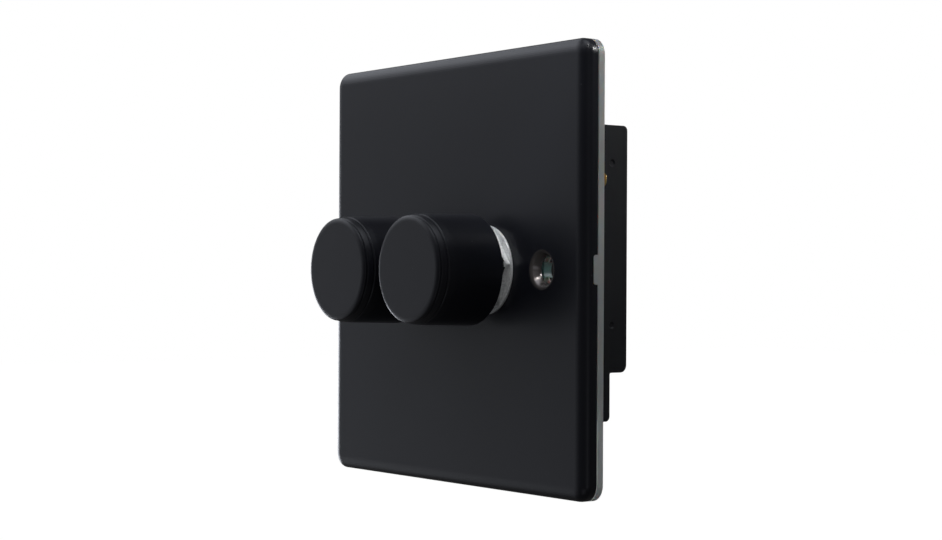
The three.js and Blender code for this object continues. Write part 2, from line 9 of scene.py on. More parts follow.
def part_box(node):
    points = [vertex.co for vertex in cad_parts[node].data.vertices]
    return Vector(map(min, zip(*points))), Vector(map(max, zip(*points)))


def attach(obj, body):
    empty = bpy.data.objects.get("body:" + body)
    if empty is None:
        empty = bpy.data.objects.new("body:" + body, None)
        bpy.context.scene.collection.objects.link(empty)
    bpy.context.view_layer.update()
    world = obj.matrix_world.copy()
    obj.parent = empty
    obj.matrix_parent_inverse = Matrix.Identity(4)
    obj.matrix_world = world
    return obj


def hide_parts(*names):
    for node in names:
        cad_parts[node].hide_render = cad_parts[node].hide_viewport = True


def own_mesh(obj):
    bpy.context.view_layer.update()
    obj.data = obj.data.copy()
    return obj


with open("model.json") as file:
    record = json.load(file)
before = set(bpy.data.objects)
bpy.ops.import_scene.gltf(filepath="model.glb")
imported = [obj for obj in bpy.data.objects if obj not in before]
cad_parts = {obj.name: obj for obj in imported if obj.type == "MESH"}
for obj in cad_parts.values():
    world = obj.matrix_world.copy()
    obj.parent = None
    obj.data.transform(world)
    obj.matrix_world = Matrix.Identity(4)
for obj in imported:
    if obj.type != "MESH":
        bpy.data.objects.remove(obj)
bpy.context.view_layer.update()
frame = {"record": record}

# The pieces are drawn in millimetres, in the model's frame: X right as seen from the room,
# Y into the wall, Z up. Blender's own unit is the metre.
MM = 0.001
TAU = math.tau
LARGE_FLAT_AREA = 12 * MM * MM

record = frame["record"]
SLOT_OF = {part["node"]: part["material_slot"] for part in record["subparts"]}
BODY_OF = {
    node: body for body, nodes in record["behaviour"]["bodies"].items() for node in nodes
}


def box_mm(node):
    """A CAD node's lowest and highest corners, in millimetres."""
    lo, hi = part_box(node)
    return lo / MM, hi / MM


# ---- outlines -----------------------------------------------------------------------------


def fillet(corners, closed=True, arc_step=math.radians(12)):
    """A path of (u, v) points through (u, v, radius) corners, with round corners."""
    path = []
    count = len(corners)
    for i, (u, v, radius) in enumerate(corners):
        here = Vector((u, v))
        if radius <= 0 or (not closed and i in (0, count - 1)):
            path.append(here)
            continue
        before = Vector(corners[i - 1][:2]) - here
        after = Vector(corners[(i + 1) % count][:2]) - here
        turn = before.angle(after)
        reach = min(radius / math.tan(turn / 2), before.length * 0.49, after.length * 0.49)
        actual = reach * math.tan(turn / 2)
        enter = here + before.normalized() * reach
        leave = here + after.normalized() * reach
        middle = here + (before.normalized() + after.normalized()).normalized() * (
            actual / math.sin(turn / 2)
        )
        steps = max(2, round((math.pi - turn) / arc_step))
        start = enter - middle
        sweep = start.angle_signed(leave - middle)
        for k in range(steps + 1):
            angle = -sweep * k / steps
            cos, sin = math.cos(angle), math.sin(angle)
            path.append(middle + Vector((
                start.x * cos - start.y * sin, start.x * sin + start.y * cos,
            )))
    return [(p.x, p.y) for p in path]


def rectangle(u0, u1, v0, v1, radius):
    """Corners for fillet, all of one radius."""
    return [(u0, v0, radius), (u1, v0, radius), (u1, v1, radius), (u0, v1, radius)]


def circle(u, v, radius, sides):
    """Points evenly round a circle about (u, v)."""
    return [
        (u + radius * math.cos(TAU * k / sides), v + radius * math.sin(TAU * k / sides))
        for k in range(sides)
    ]


# ---- meshes -------------------------------------------------------------------------------


def new_object(name, points, faces):
    """An object from points in millimetres; its faces are turned to point outwards."""
    mesh = bpy.data.meshes.new(name)
    mesh.from_pydata([Vector(p) * MM for p in points], [], faces)
    obj = bpy.data.objects.new(name, mesh)
    bpy.context.scene.collection.objects.link(obj)
    work = bmesh.new()
    work.from_mesh(mesh)
    bmesh.ops.remove_doubles(work, verts=work.verts, dist=1e-7)
    bmesh.ops.recalc_face_normals(work, faces=work.faces)
    if work.calc_volume(signed=True) < 0:
        bmesh.ops.reverse_faces(work, faces=work.faces)
    work.to_mesh(mesh)
    work.free()
    return obj


def skin(name, rings, closed=False):
    """A surface over rings of equally many points. The end rings are capped, or joined."""
    count = len(rings[0])
    points = [p for ring in rings for p in ring]
    faces = []
    for i in range(len(rings) if closed else len(rings) - 1):
        a, b = i * count, (i + 1) % len(rings) * count
        for k in range(count):
            n = (k + 1) % count
            faces.append((a + k, a + n, b + n, b + k))
    if not closed:
        faces.append(tuple(range(count)))
        faces.append(tuple(range(len(points) - 1, len(points) - 1 - count, -1)))
    return new_object(name, points, faces)


def lathe(name, corners, x=0.0, z=0.0, sides=96):
    """A piece turned about an axis along Y through (x, z), from (radius, y, fillet) corners.
    A profile that starts and ends on the axis is solid; any other is a closed ring."""
    solid = corners[0][0] == 0
    profile = fillet(corners, closed=not solid)
    if solid:
        profile = profile[1:-1]
    rings = [
        [(x + u, y, z + v) for u, v in circle(0, 0, radius, sides)] for radius, y in profile
    ]
    return skin(name, rings, closed=not solid)


def plate_of(name, outline, y0, y1):
    """An outline in X and Z, made solid from y0 to y1."""
    return skin(name, [[(u, y, v) for u, v in outline] for y in (y0, y1)])


def rail_of(name, outline, x0, x1):
    """An outline in Y and Z, made solid from x0 to x1."""
    return skin(name, [[(x, u, v) for u, v in outline] for x in (x0, x1)])


def block(name, x0, x1, y0, y1, z0, z1, radius=0.0):
    """A box from corner to corner; a radius rounds its four edges along Y."""
    x0, x1 = sorted((x0, x1))
    return plate_of(name, fillet(rectangle(x0, x1, z0, z1, radius)), y0, y1)


def apply_modifiers(obj):
    graph = bpy.context.evaluated_depsgraph_get()
    made = bpy.data.meshes.new_from_object(obj.evaluated_get(graph), depsgraph=graph)
    old = obj.data
    obj.modifiers.clear()
    obj.data = made
    bpy.data.meshes.remove(old)


def combine(obj, operation, others):
    """Joins others to obj, or cuts them from it, and removes them."""
    for other in others:
        modifier = obj.modifiers.new("combine", "BOOLEAN")
        modifier.operation = operation
        modifier.solver = "EXACT"
        modifier.object = other
        apply_modifiers(obj)
        bpy.data.objects.remove(other)
    return obj


def cut(obj, *others):
    return combine(obj, "DIFFERENCE", others)


def join(obj, *others):
    return combine(obj, "UNION", others)


def soften(obj, width=0.0, segments=2, sharp_deg=32):
    """Rounds the sharp edges by a width in millimetres, marks the rounded faces as worn, and
    shades the faces smoothly."""
    mesh = obj.data
    if width:
        work = bmesh.new()
        work.from_mesh(mesh)
        worn = work.faces.layers.float.new("worn")
        sharp = [
            edge for edge in work.edges if edge.calc_face_angle(0) > math.radians(sharp_deg)
        ]
        rounded = bmesh.ops.bevel(
            work, geom=sharp, offset=width * MM, segments=segments, profile=0.5,
            affect="EDGES", clamp_overlap=True,
        )
        for face in rounded["faces"]:
            face[worn] = 1
        work.to_mesh(mesh)
        work.free()
    mesh.shade_smooth()
    mesh.set_sharp_from_angle(angle=math.radians(sharp_deg))
    weighted = obj.modifiers.new("normals", "WEIGHTED_NORMAL")
    weighted.keep_sharp = True
    apply_modifiers(obj)
    keep_flats_flat(obj.data)
    return obj


def keep_flats_flat(mesh):
    """Shades each large flat face by its own normal alone."""
    normals = [corner.vector.copy() for corner in mesh.corner_normals]
    for face in mesh.polygons:
        if face.area > LARGE_FLAT_AREA:
            for corner in face.loop_indices:
                normals[corner] = face.normal
    mesh.normals_split_custom_set(normals)


def mark_faces(mesh, layer, chosen):
    """Sets a face attribute to 1 on the faces whose centre, in millimetres, is chosen."""
    marks = mesh.attributes.new(layer, "FLOAT", "FACE")
    for face in mesh.polygons:
        marks.data[face.index].value = float(chosen(face.center / MM))


def threaded(name, x, z, y0, y1, radius, pitch, sides, bore=0.0, collar=None):
    """A rod along Y with a helical thread and bevelled ends. A bore makes it a tube, and a
    collar of (radius, length) goes on its far end."""
    depth = pitch * 0.6
    rings_per_turn = 8
    rings = []
    steps = round((y1 - y0) / pitch * rings_per_turn)
    for i in range(steps + 1):
        y = y0 + (y1 - y0) * i / steps
        end_room = min(y - y0, math.inf if collar else y1 - y)
        limit = radius - depth + end_room
        ring = []
        for k in range(sides):
            phase = (y / pitch - k / sides) % 1
            crest = radius - depth * min(1, abs(phase - 0.5) * 2.6)
            r = min(crest, limit)
            ring.append((x + r * math.cos(TAU * k / sides), y, z + r * math.sin(TAU * k / sides)))
        rings.append(ring)
    plain = []
    if collar:
        plain += [(collar[0], y1), (collar[0], y1 + collar[1])]
    if bore:
        plain += [(bore, plain[-1][1] if plain else y1), (bore, y0)]
    for r, y in plain:
        rings.append([(x + u, y, z + v) for u, v in circle(0, 0, r, sides)])
    return skin(name, rings, closed=bool(bore))


# ---- materials ----------------------------------------------------------------------------


class Finish:
    """A procedural material: a Principled shader whose colour, roughness and bump come from
    noise in the object's own space. Lengths are in millimetres."""

    def __init__(self, name, colour, roughness, metallic=0.0, **constants):
        self.material = bpy.data.materials.new(name)
        self.material.use_nodes = True
        self.tree = self.material.node_tree
        self.shader = self.tree.nodes["Principled BSDF"]
        self.set("Base Color", (*colour, 1))
        self.set("Roughness", roughness)
        self.set("Metallic", metallic)
        for socket, value in constants.items():
            self.set(socket.replace("_", " "), value)
        self.colour, self.roughness = colour, roughness
        self.coords = self.node("ShaderNodeTexCoord").outputs["Object"]
        self.colour_link = None
        self.roughness_link = None
        self.normal_link = None

    def set(self, socket, value):
        self.shader.inputs[socket].default_value = value

    def node(self, kind, **settings):
        made = self.tree.nodes.new(kind)
        for key, value in settings.items():
            setattr(made, key, value)
        return made

    def link(self, source, target):
        self.tree.links.new(source, target)

    def noise(self, size_mm, stretch=(1, 1, 1), detail=3.0):
        """Noise from 0 to 1 whose features are about size_mm wide, stretched along an axis."""
        scale = [1 / (size_mm * MM * s) for s in stretch]
        mapping = self.node("ShaderNodeMapping")
        mapping.inputs["Scale"].default_value = scale
        self.link(self.coords, mapping.inputs["Vector"])
        texture = self.node("ShaderNodeTexNoise")
        texture.inputs["Scale"].default_value = 1.0
        texture.inputs["Detail"].default_value = detail
        self.link(mapping.outputs["Vector"], texture.inputs["Vector"])
        return texture.outputs["Fac"]

    def ramp(self, source, low, high):
        """0 where the source is under low, 1 where it is over high."""
        node = self.node("ShaderNodeMapRange")
        node.inputs["From Min"].default_value = low
        node.inputs["From Max"].default_value = high
        self.link(source, node.inputs["Value"])
        return node.outputs["Result"]

    def scaled(self, source, factor):
        """The source times a constant."""
        node = self.node("ShaderNodeMath", operation="MULTIPLY")
        self.link(source, node.inputs[0])
        node.inputs[1].default_value = factor
        return node.outputs["Value"]

    def tint(self, factor, colour):
        """Mixes another colour in where the factor is 1."""
        mix = self.node("ShaderNodeMix", data_type="RGBA")
        self.link(factor, mix.inputs["Factor"])
        if self.colour_link:
            self.link(self.colour_link, mix.inputs["A"])
        else:
            mix.inputs["A"].default_value = (*self.colour, 1)
        mix.inputs["B"].default_value = (*colour, 1)
        self.colour_link = mix.outputs["Result"]
        self.link(self.colour_link, self.shader.inputs["Base Color"])
        return self

    def rough(self, factor, other):
        """Goes to another roughness where the factor is 1."""
        mix = self.node("ShaderNodeMix", data_type="FLOAT")
        self.link(factor, mix.inputs["Factor"])
        if self.roughness_link:
            self.link(self.roughness_link, mix.inputs["A"])
        else:
            mix.inputs["A"].default_value = self.roughness
        mix.inputs["B"].default_value = other
        self.roughness_link = mix.outputs["Result"]
        self.link(self.roughness_link, self.shader.inputs["Roughness"])
        return self

    def bump(self, height, depth_mm):
        """Adds relief of a depth in millimetres to the relief that is there."""
        node = self.node("ShaderNodeBump")
        node.inputs["Distance"].default_value = depth_mm * MM
        self.link(height, node.inputs["Height"])
        if self.normal_link:
            self.link(self.normal_link, node.inputs["Normal"])
        self.normal_link = node.outputs["Normal"]
        self.link(self.normal_link, self.shader.inputs["Normal"])
        return self

    def specks(self, spacing_mm, radius_mm):
        """1 in small round specks scattered thinly over the surface."""
        mapping = self.node("ShaderNodeMapping")
        mapping.inputs["Scale"].default_value = [1 / (spacing_mm * MM)] * 3
        self.link(self.coords, mapping.inputs["Vector"])
        cells = self.node("ShaderNodeTexVoronoi")
        cells.inputs["Scale"].default_value = 1.0
        self.link(mapping.outputs["Vector"], cells.inputs["Vector"])
        reach = radius_mm / spacing_mm
        return self.ramp(cells.outputs["Distance"], reach, reach * 0.6)

    def marked(self, layer):
        """1 on the faces that carry a mark."""
        attribute = self.node("ShaderNodeAttribute", attribute_name=layer)
        return attribute.outputs["Fac"]

    def metal(self, factor):
        """Takes how metallic the surface is from the factor."""
        self.link(factor, self.shader.inputs["Metallic"])
        return self


def plate_finish():
    """Fine powder coat: an even grain, faint clouding, a little dust. The cones for the fixing
    screws are burnished metal."""
    f = Finish("plate_coat", (0.0088, 0.0096, 0.0142), 0.33, Specular_IOR_Level=0.3)
    f.tint(f.ramp(f.noise(18, detail=2), 0.35, 0.7), (0.0096, 0.0104, 0.0152))
    f.tint(f.scaled(f.noise(0.35), 0.4), (0.007, 0.0076, 0.0115))
    f.tint(f.scaled(f.specks(7.5, 0.16), 0.45), (0.1, 0.11, 0.13))
    f.rough(f.ramp(f.noise(9, detail=4), 0.4, 0.7), 0.345)
    f.rough(f.marked("worn"), 0.3)
    bare = f.marked("bare")
    f.tint(bare, (0.16, 0.145, 0.14)).rough(bare, 0.24).metal(f.scaled(bare, 0.6))
    return f.bump(f.noise(0.28, detail=2), 0.004)


def knob_finish():
    """The same coat, a little smoother from handling."""
    f = Finish("knob_coat", (0.0088, 0.0094, 0.0137), 0.36, Specular_IOR_Level=0.3)
    f.tint(f.ramp(f.noise(7, detail=2), 0.35, 0.7), (0.0096, 0.0102, 0.0147))
    f.tint(f.scaled(f.noise(0.3), 0.4), (0.007, 0.0075, 0.011))
    f.tint(f.scaled(f.specks(5, 0.12), 0.4), (0.1, 0.11, 0.13))
    f.rough(f.ramp(f.noise(5, detail=4), 0.4, 0.7), 0.39)
    return f.bump(f.noise(0.25, detail=2), 0.003)


def gasket_finish():
    """Clear moulding, clouded inside, with faint flow marks. The thick bosses look greener."""
    f = Finish(
        "clear_moulding", (0.74, 0.765, 0.755), 0.34,
        IOR=1.46, Transmission_Weight=0.55, Subsurface_Weight=0.25, Subsurface_Scale=0.002,
    )
    f.tint(f.ramp(f.noise(6, stretch=(1, 1, 3)), 0.35, 0.7), (0.62, 0.645, 0.635))
    f.tint(f.marked("thick"), (0.16, 0.34, 0.33))
    f.rough(f.ramp(f.noise(1.5, detail=4), 0.4, 0.7), 0.5)
    return f.bump(f.noise(0.9, stretch=(1, 1, 2)), 0.02)


def housing_finish():
    """Moulded black nylon with a fine spark-eroded grain."""
    f = Finish("moulded_black", (0.01, 0.0105, 0.014), 0.5, Specular_IOR_Level=0.4)
    f.tint(f.ramp(f.noise(12), 0.35, 0.7), (0.013, 0.0135, 0.017))
    f.rough(f.ramp(f.noise(4), 0.35, 0.7), 0.6)
    f.rough(f.marked("worn"), 0.38)
    return f.bump(f.noise(0.18, detail=2), 0.012).bump(f.noise(3, detail=2), 0.01)


def bright_metal_finish():
    """Bright zinc plate with fine scratches and darker handling marks. Faces marked for painted
    shade are painted near black, standing for the shadow inside the knob's recess.
    """
    f = Finish("zinc_plate", (0.9, 0.91, 0.9), 0.3, metallic=0.5)
    f.tint(f.ramp(f.noise(1.3, detail=5), 0.5, 0.72), (0.62, 0.635, 0.63))
    scratch = f.ramp(f.noise(0.09, stretch=(18, 18, 1), detail=1), 0.58, 0.66)
    f.tint(f.scaled(scratch, 0.5), (0.35, 0.36, 0.36))
    f.rough(f.ramp(f.noise(0.8, detail=4), 0.35, 0.7), 0.4).rough(scratch, 0.55)
    # Painted shade: a nut's marked front face is coloured near black to stand for the shadow inside
    # the knob's recess.
    f.tint(f.marked("painted_shade"), (0.03, 0.03, 0.032))
    return f.bump(scratch, 0.006).bump(f.noise(0.6), 0.008)


def sheet_aluminium_finish():
    f = Finish("mill_aluminium", (0.6, 0.61, 0.625), 0.36, metallic=1.0)
    f.tint(f.ramp(f.noise(3, detail=4), 0.4, 0.7), (0.47, 0.48, 0.495))
    grain = f.noise(0.15, stretch=(1, 1, 30), detail=2)
    f.rough(f.ramp(grain, 0.35, 0.7), 0.5)
    return f.bump(grain, 0.006)


def brass_finish():
    f = Finish("brass", (0.64, 0.44, 0.17), 0.3, metallic=1.0)
    f.tint(f.ramp(f.noise(1.6, detail=5), 0.45, 0.72), (0.4, 0.25, 0.09))
    f.rough(f.ramp(f.noise(0.6, detail=4), 0.4, 0.7), 0.46)
    return f.bump(f.noise(0.3), 0.008)


def copper_finish():
    f = Finish("enamelled_copper", (0.5, 0.2, 0.08), 0.3, metallic=1.0, Coat_Weight=0.4)
    f.tint(f.ramp(f.noise(1.2, detail=4), 0.4, 0.7), (0.34, 0.12, 0.05))
    f.rough(f.ramp(f.noise(0.7), 0.4, 0.7), 0.42)
    return f.bump(f.noise(0.25), 0.006)


def wire_finish():
    f = Finish("spring_wire", (0.42, 0.43, 0.45), 0.28, metallic=1.0)
    f.tint(f.ramp(f.noise(0.9, detail=4), 0.4, 0.7), (0.25, 0.26, 0.28))
    f.rough(f.ramp(f.noise(0.5), 0.4, 0.7), 0.4)
    return f.bump(f.noise(0.15), 0.004)


def moulded_finish(name, colour, darker, roughness=0.5):
    """A plain moulding: slight clouding, a matt grain."""
    f = Finish(name, colour, roughness)
    f.tint(f.ramp(f.noise(4, detail=4), 0.35, 0.7), darker)
    f.rough(f.ramp(f.noise(2), 0.4, 0.7), roughness + 0.1)
    return f.bump(f.noise(0.2, detail=2), 0.008)


def board_finish():
    """Green solder mask with a lighter copper pattern under it."""
    f = Finish("solder_mask", (0.012, 0.07, 0.025), 0.35)
    copper_under = f.ramp(f.noise(2.6, stretch=(1, 1, 2.2), detail=0), 0.5, 0.52)
    f.tint(copper_under, (0.03, 0.13, 0.05))
    f.rough(f.ramp(f.noise(3), 0.4, 0.7), 0.46)
    return f.bump(copper_under, 0.03)


FINISHES = {
    "plate": plate_finish(),
    "knob": knob_finish(),
    "gasket": gasket_finish(),
    "housing": housing_finish(),
    "bright_metal": bright_metal_finish(),
    "aluminium": sheet_aluminium_finish(),
    "brass": brass_finish(),
    "copper": copper_finish(),
    "spring_steel": wire_finish(),
    "circuit_board": board_finish(),
    "track": moulded_finish("phenolic", (0.13, 0.065, 0.03), (0.08, 0.04, 0.018)),
    "switch": moulded_finish("grey_moulding", (0.085, 0.09, 0.1), (0.06, 0.064, 0.072)),
    "ferrite": moulded_finish("ferrite", (0.022, 0.022, 0.025), (0.04, 0.04, 0.043), 0.65),
    "capacitor": moulded_finish("blue_box", (0.02, 0.09, 0.3), (0.014, 0.065, 0.22), 0.4),
    "epoxy": moulded_finish("epoxy_resin", (0.012, 0.012, 0.014), (0.02, 0.02, 0.022)),
    "nylon": moulded_finish("natural_nylon", (0.66, 0.63, 0.56), (0.56, 0.53, 0.46), 0.42),
}


def stand_for(obj, node):
    """Gives a finished piece its CAD node's material, and makes it move with the node's body."""
    slot = SLOT_OF[node]
    obj.data.materials.clear()
    obj.data.materials.append(FINISHES[slot].material)
    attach(obj, BODY_OF[node])
    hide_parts(node)


# ---- wall plate ---------------------------------------------------------------------------

plate_lo, plate_hi = box_mm("face_plate")
HALF = plate_hi.x
FACE_Y = plate_lo.y
RIM_BACK_Y = plate_hi.y
SHEET = 1.0
BEND_ACROSS = 2.8
BEND_DEEP = 1.8
CORNER = 3.2
FIXING_X = 30.15
FIXING_R = 2.5
COUNTERSINK_R = 3.85
COUNTERSINK_DEEP = 1.5
DISH_R = 5.2
BUSH_HOLE_R = 5.2
NOTCH_HALF = 2.8
NOTCH_FRONT_Y = box_mm("gasket")[0].y + 0.3
NOTCH_FLOOR_X = HALF - SHEET - 0.6
SIDES = (-1, 1)
MODULE_X = (box_mm("right_knob")[0].x + box_mm("right_knob")[1].x) / 2


def square_ring(inset, y):
    """The plate's outline at one depth, drawn in from its rim by the inset."""
    side = HALF - inset
    outline = fillet(rectangle(-side, side, -side, side, max(CORNER - inset, 0.4)), arc_step=0.13)
    return [(u, y, v) for u, v in outline]


def quarter_bend(inset, face_y, across, deep, steps=12):
    """Section of a quarter-ellipse bend, from the rim to the face."""
    return [
        (
            inset + across * (1 - math.cos(math.pi / 2 * k / steps)),
            face_y + deep * (1 - math.sin(math.pi / 2 * k / steps)),
            0,
        )
        for k in range(steps + 1)
    ]


def make_face_plate():
    """A pressed sheet: a bent rim, a dish for each fixing screw, bush holes and rim notches."""
    inside = quarter_bend(SHEET, FACE_Y + SHEET, BEND_ACROSS - SHEET, BEND_DEEP - SHEET, 8)
    outside = quarter_bend(0, FACE_Y, BEND_ACROSS, BEND_DEEP)
    edge = [(SHEET, RIM_BACK_Y, 0.2), (0, RIM_BACK_Y, 0.25)]
    section = fillet([*reversed(inside), *edge, *outside], closed=False)
    plate = skin("plate_pressing", [square_ring(inset, y) for inset, y in section])
    inner_y = FACE_Y + SHEET
    for side in SIDES:
        x = side * FIXING_X
        dish_end = FACE_Y + COUNTERSINK_DEEP + 0.4
        join(plate, lathe("dish", [
            (0, inner_y - 0.5, 0), (DISH_R, inner_y - 0.5, 0), (DISH_R, inner_y + 0.02, 0.2),
            (3.4, dish_end, 0.3), (0, dish_end, 0),
        ], x, sides=64))
        cut(plate, lathe("countersink", [
            (0, FACE_Y - 1, 0), (COUNTERSINK_R + 1.8, FACE_Y - 1, 0), (3.2, FACE_Y + 0.35, 0.1),
            (FIXING_R, FACE_Y + COUNTERSINK_DEEP, 0.3), (FIXING_R, 1, 0), (0, 1, 0),
        ], x))
        bush_hole = [(0, -9, 0), (BUSH_HOLE_R, -9, 0), (BUSH_HOLE_R, 1, 0), (0, 1, 0)]
        cut(plate, lathe("bush_hole", bush_hole, side * MODULE_X, sides=64))
        notch = fillet(rectangle(NOTCH_FRONT_Y, 3, -NOTCH_HALF, NOTCH_HALF, 0.5))
        ends = sorted((side * NOTCH_FLOOR_X, side * (HALF + 1)))
        cut(plate, rail_of("notch", notch, *ends))
    soften(plate, 0.14, 3)
    mark_faces(plate.data, "bare", in_screw_cone)
    stand_for(plate, "face_plate")


def in_screw_cone(point):
    """Whether a point on the plate is on the cone of a fixing hole."""
    from_axis = math.hypot(abs(point.x) - FIXING_X, point.z)
    return from_axis < COUNTERSINK_R and point.y > FACE_Y + 0.05


SCREW_ROOM_R = 3.6
BOSS_R = 4.4
BOSS_BORE_R = 2.6
BOSS_FRONT_Y, BOSS_BACK_Y = -1.95, -0.1
BRIDGE_HALF = 1.45
GASKET_WALL = 1.3


def make_gasket():
    """A frame between the rim and the wall: a wall inside the rim, a tab in each rim notch, and
    a boss behind each fixing hole, which shows through the hole as a narrow bridge."""
    lo, hi = box_mm("gasket")
    front_y = RIM_BACK_Y + 0.05
    gasket = skin("clear_gasket", [square_ring(0, front_y), square_ring(0, hi.y)])
    wall_in = SHEET + 0.3
    wall = skin("wall", [square_ring(wall_in, lo.y), square_ring(wall_in, front_y + 0.3)])
    room_in = wall_in + GASKET_WALL
    cut(wall, skin("wall_room", [square_ring(room_in, -9), square_ring(room_in, 9)]))
    join(gasket, wall)
    for side in SIDES:
        tall = NOTCH_HALF - 0.1
        tab = fillet(rectangle(NOTCH_FRONT_Y + 0.1, 1, -tall, tall, 0.4))
        ends = sorted((side * NOTCH_FLOOR_X, side * HALF))
        tongue = rail_of("tab", tab, *ends)
        trim = block("trim", ends[0] - 1, ends[1] + 1, front_y + 0.3, 3, -9, 9)
        join(gasket, cut(tongue, trim))
    housing_lo, housing_hi = box_mm("right_module_housing")
    spare = 0.8
    side_x = housing_hi.x + spare
    window = fillet(rectangle(-side_x, side_x, housing_lo.z - spare, housing_hi.z + spare, 1.6))
    cut(gasket, plate_of("window", window, -5, 2))
    stud_lo, stud_hi = box_mm("earth_stud")
    stud = (stud_lo + stud_hi) / 2
    room = [(0, -5, 0), (SCREW_ROOM_R, -5, 0), (SCREW_ROOM_R, 2, 0), (0, 2, 0)]
    for x, z in [(-FIXING_X, 0), (FIXING_X, 0), (stud.x, stud.z)]:
        cut(gasket, lathe("hole", room, x, z, 48))
    for side in SIDES:
        x = side * FIXING_X
        inner = side * (housing_hi.x - 0.2)
        for low, high in ((-SCREW_ROOM_R, -BRIDGE_HALF), (BRIDGE_HALF, SCREW_ROOM_R)):
            cut(gasket, block("slot", inner, x - side, -3, -0.3, low, high))
        boss = lathe("boss", [
            (BOSS_BORE_R, BOSS_FRONT_Y, 0), (BOSS_R, BOSS_FRONT_Y, 0.25),
            (BOSS_R, BOSS_BACK_Y, 0), (BOSS_BORE_R, BOSS_BACK_Y, 0),
        ], x)
        bridge = block("bridge", x - 5, x + 5, -3, 0, -BRIDGE_HALF, BRIDGE_HALF)
        combine(boss, "INTERSECT", [bridge])
        join(gasket, boss)
    ejector = [(0, -0.12, 0), (1.6, -0.12, 0), (1.6, 1, 0), (0, 1, 0)]
    for x in (-37, 3, 37):
        for z in (-37, 37):
            cut(gasket, lathe("ejector_mark", ejector, x, z, 32))
    soften(gasket, 0.12)
    mark_faces(gasket.data, "thick", on_bridge)
    stand_for(gasket, "gasket")


def on_bridge(point):
    """Whether a point on the gasket is on a boss, and not on the gasket's back."""
    from_axis = abs(abs(point.x) - FIXING_X)
    return from_axis < 5 and abs(point.z) < BRIDGE_HALF + 0.15 and point.y < BOSS_BACK_Y - 0.05


def hexagon_nut(name, across_flats, bore, y0, y1, x, z, first_corner_deg, thin=False):
    """A nut with its corners turned off and a chamfered bore. A thin one has a square back."""
    corner_r = across_flats / math.sqrt(3)
    start = math.radians(first_corner_deg)
    outline = [
        (corner_r * math.cos(start + TAU * k / 6), corner_r * math.sin(start + TAU * k / 6))
        for k in range(6)
    ]
    nut = plate_of(name, outline, y0, y1)
    face_r = across_flats / 2 * (1.08 if thin else 0.97)
    clearance, slope_deg = 0.2, 27
    outer_r = corner_r + clearance
    drop = (outer_r - face_r) * math.tan(math.radians(slope_deg))
    back = [(outer_r, y1, 0)] if thin else [(outer_r, y1 - drop, 0), (face_r, y1, 0)]
    blank = lathe("blank", [
        (0, y0, 0), (face_r, y0, 0), (outer_r, y0 + drop, 0), *back, (0, y1, 0),
    ])
    combine(nut, "INTERSECT", [blank])
    chamfer = 0.35
    mouth_r = bore + chamfer + 1
    cut(nut, lathe("bore", [
        (0, y0 - 1, 0), (mouth_r, y0 - 1, 0), (bore, y0 + chamfer, 0), (bore, y1 - chamfer, 0),
        (mouth_r, y1 + 1, 0), (0, y1 + 1, 0),
    ], sides=64))
    soften(nut, 0.07, sharp_deg=20)
    nut.data.transform(Matrix.Translation(Vector((x, 0, z)) * MM))
    return nut


def make_earth_terminal():
    """A threaded stud with a flange behind the plate, and its nut."""
    lo, hi = box_mm("earth_stud")
    x, z = (lo.x + hi.x) / 2, (lo.z + hi.z) / 2
    stud = threaded("brass_stud", x, z, lo.y + 0.85, hi.y, 1.75, 0.6, sides=48)
    flange = [(0, lo.y, 0), (3.2, lo.y, 0.15), (3.2, lo.y + 0.9, 0.15), (0, lo.y + 0.9, 0)]
    join(stud, lathe("flange", flange, x, z, 64))
    stand_for(soften(stud, sharp_deg=40), "earth_stud")
    nut_lo, nut_hi = box_mm("earth_nut")
    nut = hexagon_nut("brass_nut", 6, 1.9, nut_lo.y, nut_hi.y, x, z, 12)
    stand_for(nut, "earth_nut")


# ---- one dimmer module --------------------------------------------------------------------

# Places in X are counted from the module's spindle.
HOUSING_WALL = 1.3
TERMINAL_PITCH = 7.2
SCREW_SPOTS = {"upper": (-8.6, 25.0), "lower": (8.55, -14.0)}
SCREW_CROSS_DEG = {"upper": 25, "lower": 63}
CLAMP_FLOOR = 0.9
CLAMP_ROOM = 5
CLAMP_SCREW_Z = -24.7
CLAMP_SLOT_DEG = {"a": 18, "b": 74, "c": 128}
SPINDLE_R = 3
SPINDLE_BORE_R = 3.15
SPINDLE_FLAT_Z = 1.5


